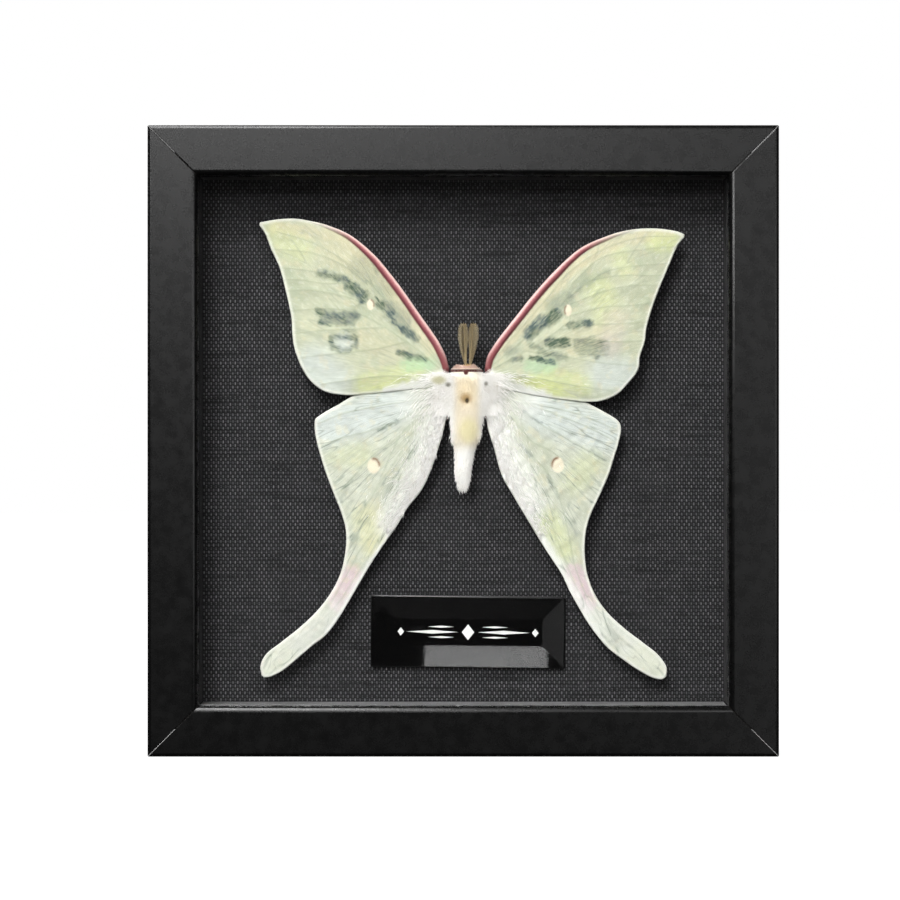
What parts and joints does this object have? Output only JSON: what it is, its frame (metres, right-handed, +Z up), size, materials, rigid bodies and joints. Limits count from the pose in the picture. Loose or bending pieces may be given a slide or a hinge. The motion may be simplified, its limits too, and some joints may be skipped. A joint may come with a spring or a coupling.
{
  "type": "framed moon moth specimen",
  "caption": "Spread moon moth with tailed wings, pinned on black woven cloth with a bevelled nameplate in a square black glazed box frame.",
  "frame": {"origin": "middle of the frame's underside, where it stands", "axes": "+X to the right across the front, +Y from the glazed front to the back, +Z up the frame's height"},
  "size_m": [0.15, 0.03, 0.15],
  "materials": {
    "frame_black": "satin black paint on wood",
    "clear_glass": "clear polished glass",
    "liner_black": "satin black paint",
    "black_cloth": "plain woven, black with a grey fleck",
    "foam_board": "matt foam board",
    "fibreboard": "raw pressed fibreboard",
    "steel": "rolled steel strip",
    "hanger_brass": "thin brass plate",
    "nameplate_gloss": "polished black",
    "wing_membrane": "matt scaled membrane, pale green with a maroon rim",
    "body_fur": "cream fur",
    "antenna_brown": "matt brown feathery barbs",
    "leg_brown": "matt maroon brown",
    "pin_steel": "fine steel wire"
  },
  "bodies": {
    "root": {"frame_rail_bottom": "frame_black", "frame_rail_right": "frame_black", "frame_rail_top": "frame_black", "frame_rail_left": "frame_black", "glass_pane": "clear_glass", "liner_strip_bottom": "liner_black", "liner_strip_right": "liner_black", "liner_strip_top": "liner_black", "liner_strip_left": "liner_black", "backing_cloth": "black_cloth", "mounting_board": "foam_board", "back_panel": "fibreboard", "retaining_point_bottom_1": "steel", "retaining_point_bottom_2": "steel", "retaining_point_right_1": "steel", "retaining_point_right_2": "steel", "retaining_point_top_1": "steel", "retaining_point_top_2": "steel", "retaining_point_left_1": "steel", "retaining_point_left_2": "steel", "hanger": "hanger_brass", "hanger_nail_left": "hanger_brass", "hanger_nail_right": "hanger_brass", "nameplate": "nameplate_gloss", "forewing_left": "wing_membrane", "forewing_right": "wing_membrane", "hindwing_left": "wing_membrane", "hindwing_right": "wing_membrane", "body": "body_fur", "antenna_left": "antenna_brown", "antenna_right": "antenna_brown", "leg_fore_left": "leg_brown", "leg_mid_left": "leg_brown", "leg_hind_left": "leg_brown", "leg_fore_right": "leg_brown", "leg_mid_right": "leg_brown", "leg_hind_right": "leg_brown", "pin": "pin_steel"}
  },
  "joints": []
}
